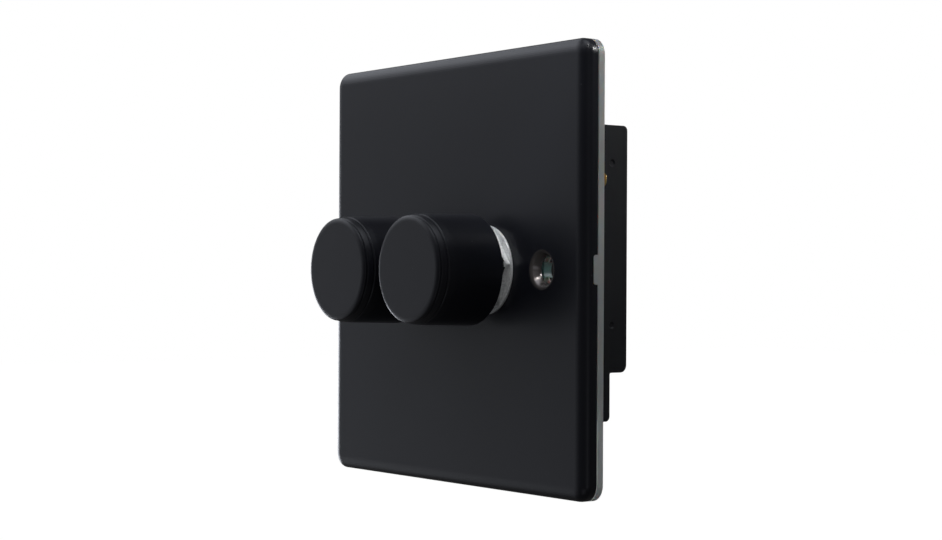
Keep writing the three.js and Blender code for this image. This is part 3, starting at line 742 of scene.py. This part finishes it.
class Module:
    """One dimmer with its knob. x is its spindle's place across the plate."""

    def __init__(self, side, nut_corner_deg):
        self.side = side
        self.nut_corner_deg = nut_corner_deg
        lo, hi = box_mm(f"{side}_knob")
        self.x = (lo.x + hi.x) / 2
        self.case_lo, self.case_hi = box_mm(f"{side}_module_housing")

    def name(self, word):
        """This module's piece or CAD node of that name."""
        return f"{self.side}_{word}"

    def box(self, node):
        return box_mm(self.name(node))

    def keep(self, obj, node, width=0.0, segments=2, sharp_deg=32):
        """Finishes a piece and puts it in its CAD node's place."""
        stand_for(soften(obj, width, segments, sharp_deg), self.name(node))

    def turned(self, word, corners, node, sides, x=0.0, z=0.0, sharp_deg=32):
        """Makes and keeps a turned piece, at (x, z) from the spindle."""
        obj = lathe(self.name(word), corners, self.x + x, z, sides)
        self.keep(obj, node, sharp_deg=sharp_deg)

    def block(self, word, x0, x1, y0, y1, z0, z1, radius=0.0):
        return block(self.name(word), self.x + x0, self.x + x1, y0, y1, z0, z1, radius)

    def hole(self, radius, y0, y1, x=0.0, z=0.0):
        """A plain cylinder to cut or join, at (x, z) from the spindle."""
        profile = [(0, y0, 0), (radius, y0, 0), (radius, y1, 0), (0, y1, 0)]
        return lathe("hole", profile, self.x + x, z, 48)

    def d_outline(self, radius, flat_z):
        """A circle about the spindle with its top cut off flat."""
        return [(self.x + u, min(v, flat_z)) for u, v in circle(0, 0, radius, 72)]

    # -- what turns --

    def make_knob(self):
        """A turned cap: a rounded front edge, two tapered bands, and a socket for the spindle."""
        lo, hi = self.box("knob")
        front, back = lo.y, hi.y
        back_r = (hi.x - lo.x) / 2
        recess_y = back - 3.5
        edge_r, edge_across, edge_deep, edge_steps = 9.1, 1.2, 0.55, 10
        rounded_edge = []
        for k in range(edge_steps + 1):
            angle = math.pi / 2 * k / edge_steps
            r = edge_r + edge_across * math.sin(angle)
            rounded_edge.append((r, front + edge_deep * (1 - math.cos(angle)), 0))
        knob = lathe(self.name("knob_turned"), [
            (0, front, 0), *rounded_edge, (10.14, front + 0.65, 0), (10.14, front + 0.8, 0),
            (10.34, front + 0.92, 0.3), (10.6, front + 2.0, 0.2), (10.38, front + 2.12, 0.1),
            (10.38, front + 2.35, 0.1), (10.58, front + 2.5, 0.3), (10.7, front + 3.9, 4),
            (back_r, back, 0.35), (9.4, back, 0.25), (9.4, recess_y, 0.4), (0, recess_y, 0),
        ], self.x, 0, 160)
        spring_room = 0.8
        outline = self.d_outline(SPINDLE_BORE_R, SPINDLE_FLAT_Z + spring_room)
        cut(knob, plate_of("socket", outline, front + 1.5, recess_y + 1))
        self.keep(knob, "knob", sharp_deg=28)

    def make_grip_spring(self):
        """A leaf between the spindle's flat and the knob, with its end turned up."""
        lo, hi = self.box("knob_grip_spring")
        thick = 0.4
        end = hi.y
        leaf = rail_of(self.name("leaf_spring"), fillet([
            (lo.y, lo.z, 0.1), (end, lo.z, 0.35), (end, hi.z, 0.15), (end - thick, hi.z, 0.15),
            (end - thick, lo.z + thick, 0.1), (lo.y, lo.z + thick, 0.1),
        ]), lo.x, hi.x)
        self.keep(leaf, "knob_grip_spring", 0.05)

    def make_spindle(self):
        """A shaft with a flat for the knob, another for the rotor, and a thin end."""
        lo, hi = self.box("spindle")
        chamfer, thin_r, thick_end = 0.4, 1.5, 3.2
        spindle = lathe(self.name("spindle_shaft"), [
            (0, lo.y, 0), (SPINDLE_R - chamfer, lo.y, 0), (SPINDLE_R, lo.y + chamfer, 0.2),
            (SPINDLE_R, thick_end, 0.2), (thin_r, thick_end, 0.15), (thin_r, hi.y, 0.2),
            (0, hi.y, 0),
        ], self.x, 0, 72)
        for y0, y1 in ((lo.y - 1, -9.6), (-1.4, 4)):
            cut(spindle, self.block("flat", -4, 4, y0, y1, SPINDLE_FLAT_Z, 5))
        self.keep(spindle, "spindle", 0.06)

    # -- bush, nut and control --

    def make_bush(self):
        lo, hi = self.box("bush")
        collar_thick = 0.9
        bush = threaded(
            self.name("threaded_bush"), self.x, 0, lo.y, hi.y - collar_thick, 4.9, 0.75,
            sides=96, bore=SPINDLE_BORE_R, collar=(7.0, collar_thick),
        )
        self.keep(bush, "bush", sharp_deg=45)

    def make_washer_and_nut(self):
        lo, hi = self.box("washer")
        inner_r, outer_r = 5.1, (hi.x - lo.x) / 2
        self.turned("flat_washer", [
            (inner_r, lo.y, 0.12), (outer_r, lo.y, 0.18), (outer_r, hi.y, 0.1),
            (inner_r, hi.y, 0.1),
        ], "washer", 128)
        nut_lo, nut_hi = self.box("hex_nut")
        nut = hexagon_nut(
            self.name("bush_nut"), 15, 5.0, nut_lo.y, nut_hi.y, self.x, 0, self.nut_corner_deg,
            thin=True,
        )
        # Marks the nut's front face for painted shade: the finish paints it near black, as the
        # knob's recess would shadow it.
        mark_faces(nut.data, "painted_shade", lambda point: point.y < nut_lo.y + 0.05)
        stand_for(nut, self.name("hex_nut"))

    def make_control(self):
        """The can of the dimmer control, its resistance track and the rotor that wipes it."""
        self.turned("can", [
            (3.5, -0.5, 0.1), (8.2, -0.5, 0.5), (8.2, 5.8, 0.1), (7.7, 5.8, 0.1),
            (7.7, 0.1, 0.3), (3.5, 0.1, 0.1),
        ], "control_can", 72)
        self.turned("resistance_disc", [
            (2.1, 4.9, 0.1), (5.0, 4.9, 0), (5.1, 4.84, 0), (6.2, 4.84, 0), (6.3, 4.9, 0),
            (7.4, 4.9, 0.1), (7.4, 5.8, 0.1), (2.1, 5.8, 0.1),
        ], "track_disc", 72)
        rotor = lathe(self.name("rotor"), [
            (0, 0.6, 0), (6.9, 0.6, 0.2), (6.9, 1.8, 0.2), (4.6, 1.8, 0.2), (4.6, 2.9, 0.2),
            (0, 2.9, 0),
        ], self.x, 0, 72)
        join(rotor, self.block("finger", -1, 1, 1.5, 4.6, -6.3, -4.8, 0.3))
        play = SPINDLE_BORE_R - SPINDLE_R
        outline = self.d_outline(SPINDLE_BORE_R, SPINDLE_FLAT_Z + play)
        cut(rotor, plate_of("bore", outline, 0, 4))
        self.keep(rotor, "wiper_rotor", 0.06)

    # -- push switch --

    def make_switch(self):
        """The switch's case, the plunger that the spindle pushes, and its contact bridge."""
        lo, hi = self.box("switch_body")
        body = self.block("switch_case", -5.5, 5.5, lo.y, hi.y, -5.5, 5.5, 0.6)
        cut(body, self.block("room", -4.6, 4.6, lo.y - 1, hi.y - 1.3, -4.6, 4.6, 0.3))
        self.keep(body, "switch_body", 0.12)
        self.turned("plunger", [
            (0, 6.05, 0), (1.8, 6.05, 0.3), (1.8, 9.2, 0.1), (4.1, 9.2, 0.2), (4.1, 10.8, 0.2),
            (1.1, 10.8, 0.1), (1.1, 14.4, 0.2), (0, 14.4, 0),
        ], "switch_plunger", 48)
        strip = self.block("bridge", -4, 4, 10.9, 11.3, -1.6, 1.6, 0.4)
        for x in (-3.2, 3.2):
            button = [(0, 11.2, 0), (0.7, 11.2, 0), (0.7, 11.8, 0.15), (0, 11.8, 0)]
            join(strip, lathe("button", button, self.x + x, 0, 32))
        cut(strip, self.hole(1.3, 10, 12))
        self.keep(strip, "contact_bridge", 0.04)

    def make_return_spring(self):
        """A coil whose end turns lie flat; it shortens as the knob is pushed."""
        lo, hi = self.box("return_spring")
        open_turns, flat_turns, coil_r, wire_r = 4.0, 0.75, 2.1, 0.26
        y0, y1 = lo.y + wire_r, hi.y - wire_r
        total = open_turns + 2 * flat_turns
        rings_per_turn = 28
        steps = round(total * rings_per_turn)
        rings = []
        for i in range(steps + 1):
            turn = total * i / steps
            share = min(max((turn - flat_turns) / open_turns, 0), 1)
            angle = TAU * turn
            out = Vector((math.cos(angle), 0, math.sin(angle)))
            middle = Vector((self.x, y0 + (y1 - y0) * share, 0)) + out * coil_r
            rings.append([
                tuple(middle + out * (wire_r * c) + Vector((0, wire_r * s, 0)))
                for c, s in circle(0, 0, 1, 10)
            ])
        spring = skin(self.name("coil_spring"), rings)
        self.keep(spring, "return_spring", sharp_deg=60)
        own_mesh(spring)

    # -- board and what is on it --

    def make_choke(self):
        """A drum core with its winding, whose turns show as ridges."""
        lo, hi = self.box("choke_core")
        x, z = (lo.x + hi.x) / 2 - self.x, (lo.z + hi.z) / 2
        flange_r, waist_r, flange_thick = 5.2, 2.6, 1.2
        y0, y1 = lo.y + flange_thick, hi.y - flange_thick
        self.turned("drum_core", [
            (0, lo.y, 0), (flange_r, lo.y, 0.2), (flange_r, y0, 0.2), (waist_r, y0, 0.2),
            (waist_r, y1, 0.2), (flange_r, y1, 0.2), (flange_r, hi.y, 0.2), (0, hi.y, 0),
        ], "choke_core", 48, x, z)
        lo, hi = self.box("choke_winding")
        inner_r, end_r, crest_r, groove_deep = 2.9, 4.5, 4.9, 0.3
        rows, points_per_row = 11, 5
        pitch = (hi.y - lo.y) / rows
        ridges = []
        for row in range(rows):
            for k in range(points_per_row):
                share = (k + 0.5) / points_per_row
                swell = math.sin(math.pi * share)
                ridges.append((crest_r - groove_deep * (1 - swell), lo.y + pitch * (row + share), 0))
        self.turned("winding", [
            (inner_r, lo.y, 0), (end_r, lo.y, 0), *ridges, (end_r, hi.y, 0), (inner_r, hi.y, 0),
        ], "choke_winding", 48, x, z, sharp_deg=80)

    def make_capacitor(self):
        lo, hi = self.box("film_capacitor")
        body = block(self.name("box_capacitor"), lo.x, hi.x, lo.y, hi.y, lo.z, hi.z, 0.4)
        self.keep(body, "film_capacitor", 0.3, 3)

    def make_board(self):
        lo, hi = self.box("circuit_board")
        board = block(self.name("board"), lo.x, hi.x, lo.y, hi.y, lo.z, hi.z, 0.4)
        for x, z in SCREW_SPOTS.values():
            cut(board, self.hole(3.4, 5, 9, x, z))
        cut(board, self.hole(2.6, 5, 9))
        self.keep(board, "circuit_board", 0.05)

    def make_transistor(self):
        """A tab against the heatsink, a resin body and three bent legs."""
        lo, hi = self.box("power_transistor")
        body = self.block("transistor", -5, 5, lo.y, lo.y + 1.3, 12, hi.z, 0.3)
        join(body, self.block("resin", -4.95, 4.95, lo.y + 1.1, 3, 12.05, 20.6, 0.3))
        for x in (-2.5, 0, 2.5):
            lead = rail_of("lead", fillet([
                (1, 12.5, 0), (1, 8.9, 0.7), (hi.y, 8.9, 0), (hi.y, 9.5, 0), (1.6, 9.5, 0.3),
                (1.6, 12.5, 0),
            ]), self.x + x - 0.4, self.x + x + 0.4)
            join(body, lead)
        cut(body, self.hole(1.8, lo.y - 1, lo.y + 1.25, 0, 23.5))
        self.keep(body, "power_transistor", 0.08)

    # -- housing and terminals --

    def make_heatsink(self):
        lo, hi = self.box("heatsink_plate")
        plate = block(self.name("heatsink"), lo.x, hi.x, lo.y, hi.y, lo.z, hi.z, 1.0)
        for x, z in SCREW_SPOTS.values():
            cut(plate, self.hole(1.5, -5, 0, x, z))
        cut(plate, self.hole(5.1, -5, 0))
        self.keep(plate, "heatsink_plate", 0.1)

    def make_housing(self):
        """An L-shaped shell with ribs between its terminals and bosses for its two screws."""
        lo, hi = self.case_lo, self.case_hi
        step_z, lip_y = -20.2, 16.9
        wall = HOUSING_WALL
        body = rail_of(self.name("housing"), fillet([
            (lo.y, lo.z, 0.3), (lip_y, lo.z, 1.0), (lip_y, step_z, 0.3), (hi.y, step_z, 1.5),
            (hi.y, hi.z, 1.0), (lo.y, hi.z, 0.3),
        ]), lo.x, hi.x)
        half = hi.x - self.x - wall
        inner_back = hi.y - wall
        cut(body, self.block("room", -half, half, lo.y - 1, inner_back, step_z + wall, hi.z - wall))
        cut(body, self.block("lip_room", -half, half, 0, lip_y - wall, lo.z + wall, -17))
        for place in (-0.5, 0.5):
            x = place * TERMINAL_PITCH
            join(body, self.block(
                "rib", x - 0.3, x + 0.3, -0.5, lip_y - wall + 0.5, lo.z + wall - 0.5, -21,
            ))
        for x, z in SCREW_SPOTS.values():
            join(body, self.hole(2.6, lo.y, inner_back + 0.5, x, z))
            cut(body, lathe("screw_bore", [
                (0, lo.y - 1, 0), (1.45, lo.y - 1, 0), (1.45, 19.9, 0), (2.4, 19.9, 0),
                (2.4, hi.y + 1, 0), (0, hi.y + 1, 0),
            ], self.x + x, z, 48))
        for letter in "abc":
            self.open_terminal(body, letter)
        self.add_surface_detail(body)
        self.keep(body, "module_housing", 0.14)

    def terminal(self, letter):
        """A clamp's place from the spindle, and its corners."""
        lo, hi = self.box(f"terminal_clamp_{letter}")
        return (lo.x + hi.x) / 2 - self.x, lo, hi

    def open_terminal(self, body, letter):
        """A wire entry in the lip's underside and a screwdriver hole in its back."""
        x, lo, _ = self.terminal(letter)
        edge = 0.05
        y0 = lo.y + CLAMP_FLOOR - edge
        y1 = lo.y + CLAMP_FLOOR + CLAMP_ROOM + edge
        entry = self.block("entry", x - 2.45, x + 2.45, y0, y1, self.case_lo.z - 1, lo.z + 0.1)
        cut(body, entry, self.hole(2.4, 15.2, 18, x, CLAMP_SCREW_Z))

    def add_surface_detail(self, body):
        """Shallow dimples in the sides, a blank sunk panel and moulding marks on the back."""
        lo, hi = self.case_lo, self.case_hi
        for edge, way in ((lo.x, -1), (hi.x, 1)):
            for z in (21.3, -10.8):
                dimple = lathe("dimple", [(0, -1, 0), (1.6, -1, 0), (0.5, 0.25, 0.2), (0, 0.25, 0)])
                place = Matrix.Translation(Vector((edge, 17.3, z)) * MM)
                dimple.data.transform(place @ Matrix.Rotation(way * math.pi / 2, 4, "Z"))
                cut(body, dimple)
        panel = fillet(rectangle(self.x - 8.6, self.x + 8.6, -9.4, 20.4, 0.8))
        cut(body, plate_of("panel", panel, hi.y - 0.18, hi.y + 1))
        mark = [(0, hi.y - 0.15, 0), (1.1, hi.y - 0.15, 0), (1.1, hi.y + 1, 0), (0, hi.y + 1, 0)]
        for x, z in ((-0.6, -13.2), (0, 24.2)):
            cut(body, lathe("mark", mark, self.x + x, z, 32))

    def make_terminals(self):
        """Three brass clamps, each with a tail to the board and a screw from behind."""
        for letter in "abc":
            x, lo, hi = self.terminal(letter)
            clamp = self.block("clamp_" + letter, x - 2.95, x + 2.95, lo.y, 11.4, lo.z, -21.5, 0.35)
            tail = self.block("tail", x - 1, x + 1, 8.3, 9.1, -22, hi.z)
            join(clamp, tail)
            y0 = lo.y + CLAMP_FLOOR
            y1 = y0 + CLAMP_ROOM
            cut(clamp, self.block("way", x - 2.4, x + 2.4, y0, y1, lo.z - 1, -22.3, 0.3))
            cut(clamp, self.hole(1.65, y0 + 2, 13, x, CLAMP_SCREW_Z))
            self.keep(clamp, "terminal_clamp_" + letter, 0.1)
            self.make_clamp_screw(letter, x)

    def make_clamp_screw(self, letter, x):
        lo, hi = self.box("clamp_screw_" + letter)
        z = (lo.z + hi.z) / 2
        head_y = hi.y - 1.9
        screw = threaded(
            self.name("clamping_screw_" + letter), self.x + x, z, lo.y, head_y, 1.5, 0.5, sides=40,
        )
        head = [(0, head_y - 0.05, 0), (2.1, head_y - 0.05, 0.15), (2.1, hi.y, 0.35), (0, hi.y, 0)]
        join(screw, lathe("head", head, self.x + x, z, 48))
        turn = math.radians(CLAMP_SLOT_DEG[letter] + (40 if self.side == "left" else 0))
        self.cut_slot(screw, x, z, turn, 6, 0.6, hi.y - 0.8)
        self.keep(screw, "clamp_screw_" + letter, sharp_deg=40)

    def cut_slot(self, screw, x, z, turn, length, width, floor_y):
        """A driver's slot across a screw head, turned about the screw by an angle."""
        outline = rectangle(-length / 2, length / 2, -width / 2, width / 2, 0)
        slot = plate_of("slot", fillet(outline), floor_y, floor_y + 2)
        place = Matrix.Translation(Vector((self.x + x, 0, z)) * MM)
        slot.data.transform(place @ Matrix.Rotation(turn, 4, "Y"))
        cut(screw, slot)

    def make_housing_screws(self):
        """Two cross-headed screws through the housing into the heatsink plate."""
        for where, (x, z) in SCREW_SPOTS.items():
            lo, hi = self.box("housing_screw_" + where)
            head_y = hi.y - 1
            screw = threaded(
                self.name("case_screw_" + where), self.x + x, z, lo.y, head_y, 1.2, 0.7, sides=36,
            )
            join(screw, lathe("head", [
                (0, head_y - 0.05, 0), (2.15, head_y - 0.05, 0.1), (2.15, head_y + 0.45, 0.3),
                (1.3, hi.y, 0.8), (0, hi.y, 0),
            ], self.x + x, z, 48))
            turn = math.radians(SCREW_CROSS_DEG[where])
            for arm in (0, math.pi / 2):
                self.cut_slot(screw, x, z, turn + arm, 2.3, 0.52, hi.y - 0.75)
            self.keep(screw, "housing_screw_" + where, sharp_deg=40)

    def make(self):
        """Makes every piece of the dimmer."""
        self.make_knob()
        self.make_grip_spring()
        self.make_spindle()
        self.make_bush()
        self.make_washer_and_nut()
        self.make_control()
        self.make_switch()
        self.make_return_spring()
        self.make_board()
        self.make_transistor()
        self.make_choke()
        self.make_capacitor()
        self.make_heatsink()
        self.make_housing()
        self.make_terminals()
        self.make_housing_screws()


make_face_plate()
make_gasket()
make_earth_terminal()
Module("left", 22).make()
Module("right", 7).make()


# ---- studio -------------------------------------------------------------------------------


def make_camera():
    """A camera at the plate's height, well round to its right."""
    azimuth, elevation, roll = math.radians(53.75), math.radians(-0.324), math.radians(0.294)
    distance, target = 0.39005, Vector((0.001447, 0, 0.000037))
    back = Vector((
        math.sin(azimuth) * math.cos(elevation),
        -math.cos(azimuth) * math.cos(elevation),
        math.sin(elevation),
    ))
    data = bpy.data.cameras.new("camera")
    data.sensor_width = 36
    data.lens = 73.73
    data.clip_start = 0.01
    camera = bpy.data.objects.new("camera", data)
    bpy.context.scene.collection.objects.link(camera)
    camera.rotation_mode = "QUATERNION"
    facing = (-back).to_track_quat("-Z", "Y").to_matrix().to_4x4()
    turned_by = Matrix.Rotation(roll, 4, "Z")
    camera.rotation_quaternion = (facing @ turned_by).to_quaternion()
    camera.location = target + back * distance
    bpy.context.scene.camera = camera


DAYLIGHT = (0.88, 0.915, 1)


def softbox(name, centre, width, height, watts):
    """A soft daylight lamp that faces the origin."""
    data = bpy.data.lights.new(name, "AREA")
    data.shape = "RECTANGLE"
    data.size, data.size_y = width, height
    data.energy = watts
    data.color = DAYLIGHT
    light = bpy.data.objects.new(name, data)
    light.location = centre
    light.rotation_euler = (-light.location).to_track_quat("-Z", "Y").to_euler()
    bpy.context.scene.collection.objects.link(light)


def spot(name, centre, aim, degrees, watts, radius):
    """A spot whose light falls off softly from the point it is aimed at."""
    data = bpy.data.lights.new(name, "SPOT")
    data.spot_size = math.radians(degrees)
    data.spot_blend = 1.0
    data.shadow_soft_size = radius
    data.energy = watts
    light = bpy.data.objects.new(name, data)
    light.location = centre
    light.rotation_euler = (Vector(aim) - light.location).to_track_quat("-Z", "Y").to_euler()
    bpy.context.scene.collection.objects.link(light)


def make_floor():
    """A wide pale floor, well below the plate, that throws no light back on the object."""
    reach = 6000
    corners = [(-reach, -reach, 0), (reach, -reach, 0), (reach, reach, 0), (-reach, reach, 0)]
    floor = new_object("floor", corners, [(0, 1, 2, 3)])
    floor.location.z = -0.3
    finish = Finish("pale_floor", (0.02, 0.02, 0.02), 0.9, Emission_Strength=1.0)
    finish.set("Emission Color", (1, 1, 1, 1))
    floor.data.materials.append(finish.material)
    floor.visible_diffuse = False
    floor.visible_glossy = False


def make_world():
    """White to the camera, and a dim even fill for everything else."""
    world = bpy.data.worlds.new("studio")
    bpy.context.scene.world = world
    world.use_nodes = True
    tree = world.node_tree
    background = tree.nodes["Background"]
    background.inputs["Color"].default_value = (1, 1, 1, 1)
    path = tree.nodes.new("ShaderNodeLightPath")
    strength = tree.nodes.new("ShaderNodeMapRange")
    strength.inputs["To Min"].default_value = 0.075
    strength.inputs["To Max"].default_value = 1.0
    tree.links.new(path.outputs["Is Camera Ray"], strength.inputs["Value"])
    tree.links.new(strength.outputs["Result"], background.inputs["Strength"])


make_camera()
make_floor()
make_world()
softbox("left", (-0.8, -0.35, 0.1), 1.4, 1.4, 2.1)
softbox("left_edge", (-0.95, 0.05, -0.14), 0.35, 0.35, 2)
softbox("left_high", (-0.7, -0.5, 0.45), 0.7, 0.5, 1.05)
softbox("left_low", (-0.7, -0.5, -0.4), 0.7, 0.5, 0.2)
softbox("top_left", (-0.62, -0.14, 0.56), 0.8, 0.5, 1.3)
softbox("top", (0.1, -0.12, 0.7), 0.5, 0.5, 1.5)
softbox("top_front", (-0.05, -0.6, 0.65), 0.45, 0.45, 0.6)
softbox("overhead", (0.3, 0.1, 0.7), 0.35, 0.35, 0.4)
softbox("camera_side", (0.9, -0.75, 0.35), 0.5, 0.5, 0.2)
softbox("low", (0.8, -0.5, -0.2), 0.4, 0.3, 0.2)
softbox("front_low", (0.3, -0.8, -0.6), 0.5, 0.4, 0.3)
spot("right_spot", (0.4, 0.42, 0.42), (0.04, 0.002, 0.07), 10.5, 15, 0.05)
spot("nut_spot", (0.276, -0.169, 0.482), (0.0185, 0.001, 0.002), 2.5, 8, 0.008)
bpy.context.scene.view_settings.view_transform = "Standard"
